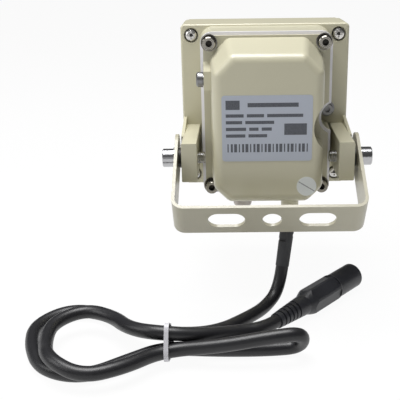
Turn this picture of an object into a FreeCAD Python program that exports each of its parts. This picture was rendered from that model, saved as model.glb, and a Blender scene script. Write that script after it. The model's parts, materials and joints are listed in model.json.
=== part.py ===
import FreeCAD, Part
import math
import os

V = FreeCAD.Vector

# All sizes are in millimetres. X runs across the lamp, +Y is the way the beam goes, +Z is up.
# The lamp is drawn from the middle of its back plane, and every piece is then moved so that
# the origin lies on the wall face of the bracket, at the middle of its round hole.

# Die-cast body
body_width = 95.0
body_height = 93.0
body_depth = 30.0
body_corner_r = 2.6
body_edge_r = 1.2
led_bay_width = 76.0
led_bay_height = 74.0
back_wall = 4.0

# Raised frame on the back of the body, which carries the rear cover
frame_width = 72.6
frame_height = 90.8
frame_depth = 22.0
frame_draft = 0.8
frame_corner_r = 7.0
driver_bay_width = 50.0
driver_bay_height = 66.0
notch_x = 38.3
notch_z = -1.8
notch_r = 8.2

# Lugs that carry the pivot bolts
lug_inner = 37.6
lug_outer = 45.8
lug_top = -10.5
lug_bottom = -31.4
lug_depth = 47.0
lug_edge_r = 0.6
gusset_thick = 1.6
gusset_top = -6.0
gusset_reach = 27.4

# Front gasket, glass and bezel
front_gasket_thick = 1.2
glass_width = 80.0
glass_height = 78.0
glass_thick = 4.0
glass_corner_r = 4.0
bezel_depth = 12.8
bezel_step = 0.7
lens_opening_width = 72.0
lens_opening_height = 70.0
fit_gap = 0.3

# Lamp engine
led_rows = 4
led_columns = 4
led_pitch = 16.8
pad_thick = 0.5
board_side = 70.0
board_thick = 1.6
emitter_side = 3.5
emitter_height = 1.4
lens_r = 7.6
lens_foot_r = 2.9
lens_height = 11.0
holder_thick = 2.0
holder_post_r = 1.6
holder_post_inset = 2.5

# Rear gasket and rear cover
gasket_thick = 1.6
gasket_lip = 1.7
flange_thick = 3.0
cover_depth = 25.4
cover_width = 60.6
cover_top = 41.8
cover_bottom = -43.4
cover_chamfer_top = 9.5
cover_chamfer_bottom = 8.0
cover_side_draft = 1.9
cover_top_slope = 6.2
cover_round_r = 5.0
cover_wall = 2.6
waist_r = 14.8
waist_blend_r = 6.0
side_boss_y = -31.0
side_boss_z = 20.6
side_boss_height = 10.0
side_boss_reach = 34.0
cord_boss_r = 4.8

# Driver inside the cover
driver_width = 46.0
driver_height = 60.0
driver_thick = 1.6
driver_post = 10.0
post_r = 3.0
transformer_width = 30.0
transformer_height = 26.0
transformer_depth = 19.0
transformer_low = 2.0
capacitor_r = 5.0
capacitor_length = 16.0
capacitor_pitch = 13.0
capacitor_z = -14.0
terminal_width = 14.0
terminal_height = 9.0
terminal_depth = 10.0
terminal_side_inset = 2.0
terminal_low_inset = 3.0
terminal_pitch = 4.5
terminal_hole_r = 1.4
terminal_hole_depth = 4.0

# Screws
cover_screw_x = 30.5
cover_screw_z = 39.4
cover_screw_length = 12.0
bezel_screw_x = 41.5
bezel_screw_z = 40.5
bezel_screw_recess = 1.5
bezel_screw_recess_r = 4.1
side_screw_x = 35.8
side_screw_length = 4.0
thread_gap = 0.05
m4_r = 2.0
m4_head_r = 3.5
m4_head_h = 4.0
m4_hex = 3.0
m4_washer_r = 4.5
m4_washer_h = 0.8
m4_spring_r = 3.9
m4_spring_h = 1.0
m3_r = 1.5
m3_head_r = 3.5
m3_head_h = 2.2

# Bracket and pivots
pivot_y = -34.0
pivot_z = -21.4
strip_thick = 1.7
strip_width = 20.0
arm_gap = 96.0
arm_reach = 44.0
arm_tip = 14.0
arm_angle = 31.5
bend_r = 6.5
pattern_x = 1.2
hole_r = 5.0
slot_length = 19.0
slot_pitch = 46.4
slot_r = 5.3
m6_r = 3.0
m6_hole_r = 3.3
m6_head_r = 5.0
m6_head_h = 6.0
m6_hex = 5.0
m6_washer_r = 5.6
m6_washer_h = 1.0
m6_length = 17.0
rub_washer_r = 5.4

# Plugs in the cover
side_plug_r = 4.0
side_plug_proud = 3.4
bottom_plug_x = -13.5
bottom_plug_y = -38.0
bottom_plug_r = 5.0
bottom_plug_proud = 4.8
plug_thread_r = 3.0

# Cord and what is on it
cord_r = 3.5
boot_top_r = 4.0
boot_end_r = 3.7
boot_top = (12.4, -38.0, -51.5)
boot_end = (8.1, -46.0, -80.7)
boot_slot = 1.6
boot_collar_r = 4.4
boot_collar = 3.6
boss_end = -49.5
surface_z = -103.6
tie_x = -50.8
tie_strands = [(-100.4, -92.6), (-105.0, -98.6), (-112.1, -95.7), (-107.3, -88.5)]
tie_play = 0.6
tie_width = 2.2
tie_thick = 0.8
relief_start = (3.3, -81.0)
connector_end = (50.5, -25.0)
relief_length = 23.5
grip_length = 28.6
barrel_r = 7.1
grip_flat = 5.9
relief_r = 5.6
relief_end_r = 4.1
shell_proud = 1.2


def beyond(first, last, share):
    """A point on the line through two others, at a share of their distance from the first."""
    return tuple(a + (b - a) * share for a, b in zip(first, last))


cord_route = [
    boot_end,
    beyond(boot_top, boot_end, 1.425),
    (-1.2, -59.2, -99.1),
    (-10.5, -74.5, -97.4),
    (-28.5, -94.2, -96.1),
    (-52.0, -103.3, -91.4),
    (-72.1, -88.1, -96.7),
    (-86.1, -66.0, -99.8),
    (-107.6, -60.8, -98.9),
    (-123.3, -76.4, -100.0),
    (-120.0, -98.3, -99.8),
    (-109.2, -120.7, -99.9),
    (-87.3, -127.2, -100.1),
    (-68.4, -114.4, -99.0),
    (-52.5, -104.0, -98.4),
    (-25.0, -104.8, -99.4),
    (-0.5, -103.4, -100.1),
    (14.3, -101.8, -99.6),
    (14.5, -110.4, -87.6),
    (-0.2, -112.2, -88.4),
    (-24.9, -113.1, -92.5),
    (-53.1, -110.0, -96.4),
    (-68.9, -128.3, -94.2),
    (-87.5, -134.8, -95.1),
    (-104.4, -125.2, -91.4),
    (-110.6, -106.1, -94.4),
    (-111.4, -86.7, -93.2),
    (-96.3, -74.6, -92.0),
    (-79.4, -84.1, -92.0),
    (-69.9, -99.7, -90.1),
    (-53.1, -108.6, -87.7),
    (-32.8, -104.2, -91.6),
    (-15.9, -92.8, -95.9),
    beyond(relief_start, connector_end, -0.131) + (surface_z + barrel_r,),
    relief_start + (surface_z + barrel_r,),
]

# The wall face of the bracket and its axis
angle = math.radians(arm_angle)
arm_dir = V(0, -math.cos(angle), -math.sin(angle))
pivot = V(0, pivot_y, pivot_z)
origin = pivot + arm_dir * arm_reach + V(pattern_x, 0, 0)

built = {}


def save(name, shape):
    """Move a finished piece into the part's frame and write it."""
    shape = shape.copy()
    shape.translate(origin * -1)
    shape.exportStep("parts/" + name + ".step")
    built[name] = shape
    print("%-22s solids %d  volume %.1f  valid %s"
          % (name, len(shape.Solids), shape.Volume, shape.isValid()))


def block(x0, x1, y0, y1, z0, z1):
    """A box between two corners."""
    return Part.makeBox(x1 - x0, y1 - y0, z1 - z0, V(x0, y0, z0))


def rod(centre, direction, radius, length):
    """A cylinder that starts at centre and runs along direction."""
    return Part.makeCylinder(radius, length, centre, direction)


def place(shape, point, direction):
    """Put a shape drawn along +Z at a point, with +Z turned to a direction."""
    shape = shape.copy()
    turn = FreeCAD.Rotation(V(0, 0, 1), direction)
    shape.Placement = FreeCAD.Placement(point, turn)
    return shape


def corner_points(before, corner, after, radius):
    """Start, middle and end of the arc that rounds one corner of an outline."""
    a = (before - corner).normalize()
    b = (after - corner).normalize()
    half = a.getAngle(b) / 2
    reach = radius / math.tan(half)
    middle = (a + b).normalize()
    centre = corner + middle * (radius / math.sin(half))
    return corner + a * reach, centre - middle * radius, corner + b * reach


def rounded_wire(corners, y):
    """A closed outline in a plane of constant Y. Each corner is (x, z, radius)."""
    points = [V(x, y, z) for x, z, _ in corners]
    count = len(points)
    edges = []
    ends = []
    for i in range(count):
        radius = corners[i][2]
        ends.append(corner_points(points[i - 1], points[i], points[(i + 1) % count], radius))
    for i in range(count):
        first, middle, last = ends[i]
        edges.append(Part.Arc(first, middle, last).toShape())
        edges.append(Part.LineSegment(last, ends[(i + 1) % count][0]).toShape())
    return Part.Wire(edges)


def rectangle(width, height, radius):
    """Corners of a rectangle about the lamp's axis."""
    x = width / 2
    z = height / 2
    return [(x, z, radius), (-x, z, radius), (-x, -z, radius), (x, -z, radius)]


def plate(corners, y0, y1):
    """A flat piece with a rounded outline between two planes of constant Y."""
    face = Part.Face(rounded_wire(corners, y0))
    return face.extrude(V(0, y1 - y0, 0))


def tapered(front, y_front, rear, y_rear):
    """A solid between two outlines with as many corners."""
    wires = [rounded_wire(front, y_front), rounded_wire(rear, y_rear)]
    return Part.makeLoft(wires, True, True)


def revolved(profile):
    """A solid of revolution about Z from (radius, height) points."""
    points = [V(r, 0, z) for r, z in profile]
    wire = Part.makePolygon(points + [points[0]])
    return Part.Face(wire).revolve(V(0, 0, 0), V(0, 0, 1), 360)


def four_corners(x, z):
    """The four places of a symmetric pattern: top left, top right, bottom left, bottom right."""
    return [(-x, z), (x, z), (-x, -z), (x, -z)]


def hex_prism(across_flats, height, z):
    """A six-sided prism that stands on z."""
    radius = across_flats / math.sqrt(3)
    points = []
    for i in range(7):
        turn = math.radians(60 * i)
        points.append(V(radius * math.cos(turn), radius * math.sin(turn), z))
    return Part.Face(Part.makePolygon(points)).extrude(V(0, 0, height))


def cap_screw(shank_r, length, head_r, head_h, hex_size):
    """A socket-head screw: the head's underside is at z = 0 and the shank runs down."""
    chamfer = 0.4
    head = revolved([(0, 0), (head_r, 0), (head_r, head_h - chamfer),
                     (head_r - chamfer, head_h), (0, head_h)])
    head = head.cut(hex_prism(hex_size, head_h * 0.6, head_h * 0.4))
    shank = revolved([(0, 0), (shank_r, 0), (shank_r, chamfer - length),
                      (shank_r - chamfer, -length), (0, -length)])
    return head.fuse(shank).removeSplitter()


def pan_screw(shank_r, length, head_r, head_h):
    """A cross-recessed pan-head screw, drawn like the socket-head one."""
    head = revolved([(0, 0), (head_r, 0), (head_r, head_h * 0.4), (head_r * 0.9, head_h * 0.7),
                     (head_r * 0.68, head_h * 0.89), (head_r * 0.36, head_h * 0.98), (0, head_h)])
    arm = 4.2
    width = 1.0
    deep = head_h * 0.65
    for x, y in ((arm, width), (width, arm)):
        head = head.cut(Part.makeBox(x, y, deep, V(-x / 2, -y / 2, head_h - deep)))
    return head.fuse(Part.makeCylinder(shank_r, length, V(0, 0, -length))).removeSplitter()


def washer(outer_r, inner_r, height):
    """A flat washer on z = 0."""
    return Part.makeCylinder(outer_r, height).cut(Part.makeCylinder(inner_r, height))


def spring_washer(outer_r, inner_r, height):
    """A split washer on z = 0 with its slanted gap."""
    gap = Part.makeBox(outer_r + 1, 0.9, height * 3, V(0, -0.45, -height))
    gap.rotate(V(0, 0, height / 2), V(1, 0, 0), 25)
    return washer(outer_r, inner_r, height).cut(gap)


def frame_outline(grow, y_share):
    """The raised frame's outline with the notch for the side screw, grown by an amount.

    y_share is 0 at the body and 1 at the gasket, for the draft of the casting.
    """
    shrink = frame_draft * y_share - grow
    return rectangle(frame_width - 2 * shrink, frame_height - 2 * shrink, frame_corner_r - shrink)


def notch_cut(y0, y1, radius):
    """The round notch in the right side, between two planes of constant Y."""
    hole = rod(V(notch_x, y0, notch_z), V(0, 1, 0), radius, y1 - y0)
    mouth = block(notch_x, notch_x + 20, y0, y1, notch_z - radius, notch_z + radius)
    return hole.fuse(mouth)


def build_lug(side):
    """One pivot lug with its outer gusset, on the side of the sign of side."""
    lug = block(lug_inner, lug_outer, -lug_depth, 1.0, lug_bottom, lug_top)
    edges = [e for e in lug.Edges if abs(e.tangentAt(e.FirstParameter).x) < 0.5
             and e.CenterOfMass.y > -lug_depth + 1 and abs(e.tangentAt(e.FirstParameter).y) > 0.5]
    lug = lug.makeFillet(lug_edge_r, edges)
    foot = V(lug_outer - 0.5, 0.5, gusset_top)
    rise = V(lug_outer - 0.5, -gusset_reach, lug_top - 0.6)
    low = V(lug_outer - 0.5, -gusset_reach, lug_bottom + 3)
    base = V(lug_outer - 0.5, 0.5, lug_bottom - 2)
    web = Part.Face(Part.makePolygon([foot, rise, low, base, foot]))
    lug = lug.fuse(web.extrude(V(gusset_thick, 0, 0)))
    lug = lug.cut(rod(V(lug_inner - 1, pivot_y, pivot_z), V(1, 0, 0), m6_r + thread_gap, 12))
    if side < 0:
        lug = lug.mirror(V(0, 0, 0), V(1, 0, 0))
    return lug


def build_housing():
    """The die-cast body with its LED bay, raised rear frame, driver bay and lugs."""
    shell = plate(rectangle(body_width, body_height, body_corner_r), 0, body_depth)
    rear_edges = [e for e in shell.Edges if abs(e.CenterOfMass.y) < 0.01]
    shell = shell.makeFillet(body_edge_r, rear_edges)
    shell = shell.cut(plate(rectangle(led_bay_width, led_bay_height, 3.0), back_wall, body_depth))
    raised = tapered(frame_outline(0, 0), 0.5, frame_outline(0, 1), -frame_depth)
    raised = raised.cut(notch_cut(-frame_depth, 0, notch_r))
    housing = shell.fuse(raised)
    for side in (-1, 1):
        housing = housing.fuse(build_lug(side))
    housing = housing.cut(plate(rectangle(driver_bay_width, driver_bay_height, 4.0), -frame_depth, 0))
    for x, z in four_corners(driver_width / 2 - 4, driver_height / 2 - 4):
        housing = housing.fuse(rod(V(x, 0, z), V(0, -1, 0), post_r, driver_post))
    housing = housing.cut(rod(V(0, -1, 24), V(0, 1, 0), 3.0, back_wall + 2))
    for x, z in four_corners(bezel_screw_x, bezel_screw_z):
        housing = housing.cut(rod(V(x, 0, z), V(0, 1, 0), bezel_screw_recess_r, bezel_screw_recess))
        housing = housing.cut(rod(V(x, 0, z), V(0, 1, 0), m3_r + 0.2, body_depth))
    for x, z in four_corners(cover_screw_x, cover_screw_z):
        housing = housing.cut(rod(V(x, -frame_depth, z), V(0, 1, 0), m4_r + thread_gap, 10.0))
    housing = housing.cut(rod(V(side_screw_x, -0.5, notch_z), V(0, 1, 0), m4_r + thread_gap,
                              side_screw_length - 0.1))
    return housing.removeSplitter()


def build_front():
    """Gasket, glass and bezel that close the LED bay."""
    y0 = body_depth
    y1 = y0 + front_gasket_thick
    y2 = y1 + glass_thick
    y3 = y1 + bezel_depth
    gasket = plate(rectangle(body_width - 1.6, body_height - 1.6, body_corner_r), y0, y1)
    gasket = gasket.cut(plate(rectangle(led_bay_width, led_bay_height, 3.0), y0, y1))
    glass = plate(rectangle(glass_width, glass_height, glass_corner_r), y1, y2)
    outer = rectangle(body_width - 2 * bezel_step, body_height - 2 * bezel_step, body_corner_r)
    bezel = plate(outer, y1, y3)
    front_edges = [e for e in bezel.Edges if abs(e.CenterOfMass.y - y3) < 0.01]
    bezel = bezel.makeFillet(2.0, front_edges)
    pocket = rectangle(glass_width + 2 * fit_gap, glass_height + 2 * fit_gap, glass_corner_r + fit_gap)
    bezel = bezel.cut(plate(pocket, y1, y2))
    opening = rectangle(lens_opening_width, lens_opening_height, 3.0)
    flare = rectangle(lens_opening_width + 6, lens_opening_height + 6, 6.0)
    bezel = bezel.cut(tapered(opening, y2, flare, y3))
    for x, z in four_corners(bezel_screw_x, bezel_screw_z):
        gasket = gasket.cut(rod(V(x, y0, z), V(0, 1, 0), m3_r + 0.3, front_gasket_thick))
        bezel = bezel.cut(rod(V(x, y1, z), V(0, 1, 0), m3_r + thread_gap, 9.0))
    save("front_gasket", gasket)
    save("window_glass", glass)
    save("front_bezel", bezel)


def led_places():
    """Centres of the emitters, row by row."""
    places = []
    for row in range(led_rows):
        for column in range(led_columns):
            x = (column - (led_columns - 1) / 2) * led_pitch
            z = (row - (led_rows - 1) / 2) * led_pitch
            places.append((x, z))
    return places


def build_engine():
    """Thermal pad, LED board, emitters, lenses and their holder."""
    y0 = back_wall
    y1 = y0 + pad_thick
    y2 = y1 + board_thick
    save("thermal_pad", plate(rectangle(board_side - 4, board_side - 4, 2.0), y0, y1))
    save("led_board", plate(rectangle(board_side, board_side, 2.0), y1, y2))
    half = emitter_side / 2
    y3 = y2 + emitter_height
    chips = [block(x - half, x + half, y2, y3, z - half, z + half) for x, z in led_places()]
    save("led_emitters", Part.makeCompound(chips))
    lens = revolved([(0, 0), (lens_foot_r, 0), (lens_r, lens_height - 1.0), (lens_r, lens_height),
                     (0, lens_height)])
    lenses = [place(lens, V(x, y3, z), V(0, 1, 0)) for x, z in led_places()]
    save("lens_array", Part.makeCompound(lenses))
    y4 = y3 + lens_height - 1.0 - holder_thick
    holder = plate(rectangle(led_bay_width - 2 * fit_gap, led_bay_height - 2 * fit_gap, 2.7),
                   y4, y4 + holder_thick)
    for x, z in led_places():
        holder = holder.cut(rod(V(x, y4, z), V(0, 1, 0), lens_r + 0.1, holder_thick))
    post_x = led_bay_width / 2 - fit_gap - holder_post_inset
    post_z = led_bay_height / 2 - fit_gap - holder_post_inset
    for x, z in four_corners(post_x, post_z):
        holder = holder.fuse(rod(V(x, y2, z), V(0, 1, 0), holder_post_r, y4 - y2))
    save("lens_holder", holder)


def cover_wire(inset, share, y):
    """The rear cover's eight-sided outline. share is 0 at its flange and 1 at its rear face."""
    x = cover_width / 2 - cover_side_draft * share - inset
    top = cover_top - cover_top_slope * share - inset
    bottom = cover_bottom + 1.6 * share + inset
    ct = cover_chamfer_top - 0.4 * inset
    cb = cover_chamfer_bottom - 0.4 * inset
    points = [V(x, y, top - ct), V(x - ct, y, top), V(-x + ct, y, top), V(-x, y, top - ct),
              V(-x, y, bottom + cb), V(-x + cb, y, bottom), V(x - cb, y, bottom), V(x, y, bottom + cb)]
    return Part.makePolygon(points + [points[0]])


def waist_cut(y0, y1, inset):
    """The concave waist in the cover's right side, with rounded shoulders."""
    radius = waist_r + inset
    x = cover_width / 2 + 1.0
    reach = math.sqrt((radius + waist_blend_r) ** 2 - (notch_x - x + waist_blend_r) ** 2)
    centre = V(notch_x, y0, notch_z)
    out = V(x, y0, notch_z + reach)
    low = V(x, y0, notch_z - reach)
    upper = V(x - waist_blend_r, y0, notch_z + reach)
    lower = V(x - waist_blend_r, y0, notch_z - reach)
    meet_up = centre + (upper - centre).normalize() * radius
    meet_low = centre + (lower - centre).normalize() * radius
    mid_up = upper + ((meet_up - upper).normalize() + (out - upper).normalize()).normalize() * waist_blend_r
    mid_low = lower + ((meet_low - lower).normalize() + (low - lower).normalize()).normalize() * waist_blend_r
    edges = [
        Part.Arc(out, mid_up, meet_up).toShape(),
        Part.Arc(meet_up, centre - V(radius, 0, 0), meet_low).toShape(),
        Part.Arc(meet_low, mid_low, low).toShape(),
        Part.LineSegment(low, low + V(20, 0, 0)).toShape(),
        Part.LineSegment(low + V(20, 0, 0), out + V(20, 0, 0)).toShape(),
        Part.LineSegment(out + V(20, 0, 0), out).toShape(),
    ]
    return Part.Face(Part.Wire(edges)).extrude(V(0, y1 - y0, 0))


def build_cover():
    """The deep cast cover: drafted walls, rounded rear, waist, bosses and screw flange."""
    y_seat = -frame_depth - gasket_thick
    y_flange = y_seat - flange_thick
    y_rear = y_flange - cover_depth
    dome = Part.makeLoft([cover_wire(0, 0, y_flange), cover_wire(0, 1, y_rear)], True, True)
    rounded = [e for e in dome.Edges if e.CenterOfMass.y < y_flange - 1]
    dome = dome.makeFillet(cover_round_r, rounded)
    dome = dome.cut(waist_cut(y_rear, y_flange, 0))
    flange = plate(frame_outline(-gasket_lip, 1), y_flange, y_seat)
    flange = flange.cut(notch_cut(y_flange, y_seat, notch_r + gasket_lip))
    cover = flange.fuse(dome)
    boss_front = [(-cover_width / 2 + 2, side_boss_z + side_boss_height * 0.9, 0.8),
                  (-side_boss_reach, side_boss_z + side_boss_height * 0.9, 0.8),
                  (-side_boss_reach, side_boss_z - side_boss_height * 0.6, 0.8),
                  (-cover_width / 2 + 2, side_boss_z - side_boss_height * 0.6, 0.8)]
    boss_rear = [(-cover_width / 2 + 2, side_boss_z + side_boss_height / 2, 0.8),
                 (-side_boss_reach + 0.6, side_boss_z + side_boss_height / 2, 0.8),
                 (-side_boss_reach + 0.6, side_boss_z - side_boss_height / 2, 0.8),
                 (-cover_width / 2 + 2, side_boss_z - side_boss_height / 2, 0.8)]
    cover = cover.fuse(tapered(boss_front, y_flange + 0.2, boss_rear, side_boss_y - 5.5))
    boot_axis = V(boot_top[0], boot_top[1], 0)
    cover = cover.fuse(rod(V(boot_axis.x, boot_axis.y, boss_end), V(0, 0, 1), cord_boss_r,
                           cover_bottom + 4 - boss_end))
    inside = Part.makeLoft([cover_wire(cover_wall, 0, y_seat),
                            cover_wire(cover_wall, 1, y_rear + cover_wall)], True, True)
    inside = inside.cut(waist_cut(y_rear, y_seat, cover_wall))
    cover = cover.cut(inside)
    cover = cover.cut(rod(V(-side_boss_reach - 1, side_boss_y, side_boss_z), V(1, 0, 0),
                          plug_thread_r + thread_gap, 9))
    cover = cover.cut(rod(V(bottom_plug_x, bottom_plug_y, cover_bottom - 2), V(0, 0, 1),
                          plug_thread_r + thread_gap, 8))
    cover = cover.cut(rod(V(boot_axis.x, boot_axis.y, boss_end - 1), V(0, 0, 1), 3.0, 14))
    for x, z in four_corners(cover_screw_x, cover_screw_z):
        cover = cover.cut(rod(V(x, y_seat, z), V(0, -1, 0), m4_r + 0.25, flange_thick))
        relief = rod(V(x, y_flange, z), V(0, -1, 0), m4_washer_r + 0.6, cover_depth + 1)
        cover = cover.cut(relief)
    save("rear_cover", cover.removeSplitter())


def build_rear_gasket():
    """The pale gasket whose lip shows round the cover's flange."""
    y0 = -frame_depth - gasket_thick
    gasket = plate(frame_outline(0, 1), y0, -frame_depth)
    gasket = gasket.cut(notch_cut(y0, -frame_depth, notch_r))
    gasket = gasket.cut(plate(rectangle(driver_bay_width, driver_bay_height, 4.0), y0, -frame_depth))
    for x, z in four_corners(cover_screw_x, cover_screw_z):
        gasket = gasket.cut(rod(V(x, y0, z), V(0, 1, 0), m4_r + 0.3, gasket_thick))
    save("rear_gasket", gasket)


def build_fasteners():
    """Screws and washers of the cover and the bezel, and the single screw in the notch."""
    back = V(0, -1, 0)
    y_flange = -frame_depth - gasket_thick - flange_thick
    flat = washer(m4_washer_r, m4_r + 0.2, m4_washer_h)
    spring = spring_washer(m4_spring_r, m4_r + 0.15, m4_spring_h)
    screw = cap_screw(m4_r, cover_screw_length, m4_head_r, m4_head_h, m4_hex)
    for number, (x, z) in enumerate(four_corners(cover_screw_x, cover_screw_z), 1):
        seat = V(x, y_flange, z)
        save("cover_washer_%d" % number, place(flat, seat, back))
        save("cover_spring_%d" % number, place(spring, seat + back * m4_washer_h, back))
        head = seat + back * (m4_washer_h + m4_spring_h)
        save("cover_screw_%d" % number, place(screw, head, back))
    long_screw = pan_screw(m3_r, body_depth + front_gasket_thick + 6.0, m3_head_r, m3_head_h)
    for number, (x, z) in enumerate(four_corners(bezel_screw_x, bezel_screw_z), 1):
        save("bezel_screw_%d" % number, place(long_screw, V(x, bezel_screw_recess, z), back))
    side_seat = V(side_screw_x, 0, notch_z)
    save("side_washer", place(flat, side_seat, back))
    side = cap_screw(m4_r, side_screw_length, m4_head_r, m4_head_h, m4_hex)
    save("side_screw", place(side, side_seat + back * m4_washer_h, back))


def build_driver():
    """The low-voltage driver: board, transformer, capacitors and terminal block."""
    y0 = -driver_post
    y1 = y0 - driver_thick
    save("driver_board", plate(rectangle(driver_width, driver_height, 1.0), y1, y0))
    core = block(-transformer_width / 2, transformer_width / 2, y1 - transformer_depth, y1,
                 transformer_low, transformer_low + transformer_height)
    core = core.makeFillet(1.0, [e for e in core.Edges if abs(e.tangentAt(0).y) > 0.5])
    save("driver_transformer", core)
    cans = []
    for x in (-capacitor_pitch, 0.0):
        cans.append(rod(V(x, y1, capacitor_z), V(0, -1, 0), capacitor_r, capacitor_length))
    save("driver_capacitors", Part.makeCompound(cans))
    right = driver_width / 2 - terminal_side_inset
    low = -driver_height / 2 + terminal_low_inset
    terminal = block(right - terminal_width, right, y1 - terminal_depth, y1,
                     low, low + terminal_height)
    for step in (-1, 0, 1):
        screw = V(right - terminal_width / 2 + step * terminal_pitch, y1 - terminal_depth,
                  low + terminal_height / 2)
        terminal = terminal.cut(rod(screw, V(0, 1, 0), terminal_hole_r, terminal_hole_depth))
    save("terminal_block", terminal)


def build_plugs():
    """Blanking plugs in the left side boss and under the cover."""
    side = revolved([(0, 0), (side_plug_r, 0), (side_plug_r, side_plug_proud - 0.8),
                     (side_plug_r - 0.8, side_plug_proud), (0, side_plug_proud)])
    side = side.cut(hex_prism(3.0, 1.4, side_plug_proud - 1.4))
    side = side.fuse(Part.makeCylinder(plug_thread_r, 5.0, V(0, 0, -5.0)))
    y_seat = -frame_depth - gasket_thick - flange_thick
    lean = 0.6 * (y_seat + 0.2 - side_boss_y) / (y_seat + 0.2 - side_boss_y + 5.5)
    save("side_plug", place(side, V(-side_boss_reach + lean - 0.35, side_boss_y, side_boss_z), V(-1, 0, 0)))
    low = revolved([(0, 0), (bottom_plug_r, 0), (bottom_plug_r, bottom_plug_proud * 0.5),
                    (bottom_plug_r * 0.93, bottom_plug_proud * 0.72),
                    (bottom_plug_r * 0.74, bottom_plug_proud * 0.89),
                    (bottom_plug_r * 0.45, bottom_plug_proud * 0.98), (0, bottom_plug_proud)])
    low = low.fuse(Part.makeCylinder(plug_thread_r, 4.0, V(0, 0, -4.0)))
    save("bottom_plug", place(low, V(bottom_plug_x, bottom_plug_y, cover_bottom), V(0, 0, -1)))


def build_bracket():
    """The U bracket, bent from one strip, drawn along +Z and turned to the arms' angle."""
    inner = arm_gap / 2
    outer = inner + strip_thick
    reach = arm_reach
    profile = []
    for x, depth, r in ((outer, reach, bend_r), (inner, reach - strip_thick, bend_r - strip_thick)):
        top = arm_tip
        left_low = V(-x, 0, -depth)
        right_low = V(x, 0, -depth)
        a = corner_points(V(-x, 0, top), left_low, right_low, r)
        b = corner_points(left_low, right_low, V(x, 0, top), r)
        profile.append((V(-x, 0, top), a, b, V(x, 0, top)))
    (p0, pa, pb, p1), (q0, qa, qb, q1) = profile
    edges = [
        Part.LineSegment(p0, pa[0]).toShape(), Part.Arc(*pa).toShape(),
        Part.LineSegment(pa[2], pb[0]).toShape(), Part.Arc(*pb).toShape(),
        Part.LineSegment(pb[2], p1).toShape(), Part.LineSegment(p1, q1).toShape(),
        Part.LineSegment(q1, qb[2]).toShape(), Part.Arc(qb[2], qb[1], qb[0]).toShape(),
        Part.LineSegment(qb[0], qa[2]).toShape(), Part.Arc(qa[2], qa[1], qa[0]).toShape(),
        Part.LineSegment(qa[0], q0).toShape(), Part.LineSegment(q0, p0).toShape(),
    ]
    half = strip_width / 2
    strip = Part.Face(Part.Wire(edges)).extrude(V(0, strip_width, 0))
    strip.translate(V(0, -half, 0))
    # Rounded arm ends, seen along X
    side = Part.Wire([
        Part.LineSegment(V(0, -half, -reach - 1), V(0, -half, arm_tip - half)).toShape(),
        Part.Arc(V(0, -half, arm_tip - half), V(0, 0, arm_tip), V(0, half, arm_tip - half)).toShape(),
        Part.LineSegment(V(0, half, arm_tip - half), V(0, half, -reach - 1)).toShape(),
        Part.LineSegment(V(0, half, -reach - 1), V(0, -half, -reach - 1)).toShape(),
    ])
    keep = Part.Face(side).extrude(V(2 * outer + 2, 0, 0))
    keep.translate(V(-outer - 1, 0, 0))
    strip = strip.common(keep)
    strip = strip.cut(rod(V(-outer - 1, 0, 0), V(1, 0, 0), m6_hole_r, 2 * outer + 2))
    below = V(0, 0, -reach - 1)
    strip = strip.cut(rod(below + V(pattern_x, 0, 0), V(0, 0, 1), hole_r, strip_thick + 2))
    for side_sign in (-1, 1):
        middle = pattern_x + side_sign * slot_pitch / 2
        run = slot_length / 2 - slot_r
        slot = block(middle - run, middle + run, -slot_r, slot_r, -reach - 1, -reach + strip_thick + 1)
        for end in (-run, run):
            slot = slot.fuse(rod(below + V(middle + end, 0, 0), V(0, 0, 1), slot_r, strip_thick + 2))
        strip = strip.cut(slot)
    # The strip's long axis turns from straight down to the arms' angle
    strip.rotate(V(0, 0, 0), V(1, 0, 0), arm_angle - 90)
    strip.translate(pivot)
    save("bracket", strip)
    for name, sign in (("left", -1), ("right", 1)):
        out = V(sign, 0, 0)
        face = pivot + out * outer
        save("pivot_washer_" + name, place(washer(m6_washer_r, m6_r + 0.2, m6_washer_h), face, out))
        bolt = cap_screw(m6_r, m6_length, m6_head_r, m6_head_h, m6_hex)
        save("pivot_bolt_" + name, place(bolt, face + out * m6_washer_h, out))
        gap = inner - lug_outer
        rub = washer(rub_washer_r, m6_r + 0.2, gap)
        save("rub_washer_" + name, place(rub, pivot + out * lug_outer, out))


def build_boot():
    """The tapered strain relief under the cover, with three staggered slots."""
    top = V(*boot_top)
    end = V(*boot_end)
    length = (end - top).Length
    boot = revolved([(0, 0), (boot_top_r, 0), (boot_top_r, 3.0), (boot_end_r, length), (0, length)])
    for i in range(3):
        z = 9.0 + 3.2 * i
        turn = 180 * (i % 2)
        slot = Part.makeBox(2 * boot_top_r, boot_top_r, boot_slot, V(-boot_top_r, 2.0, z))
        slot.rotate(V(0, 0, 0), V(0, 0, 1), turn)
        boot = boot.cut(slot)
    boot = place(boot, top, end - top)
    collar = rod(V(top.x, top.y, boss_end), V(0, 0, -1), boot_collar_r, boot_collar)
    save("cord_boot", boot.cut(block(0, 30, -60, 0, boss_end, 0)).fuse(collar).removeSplitter())


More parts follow.
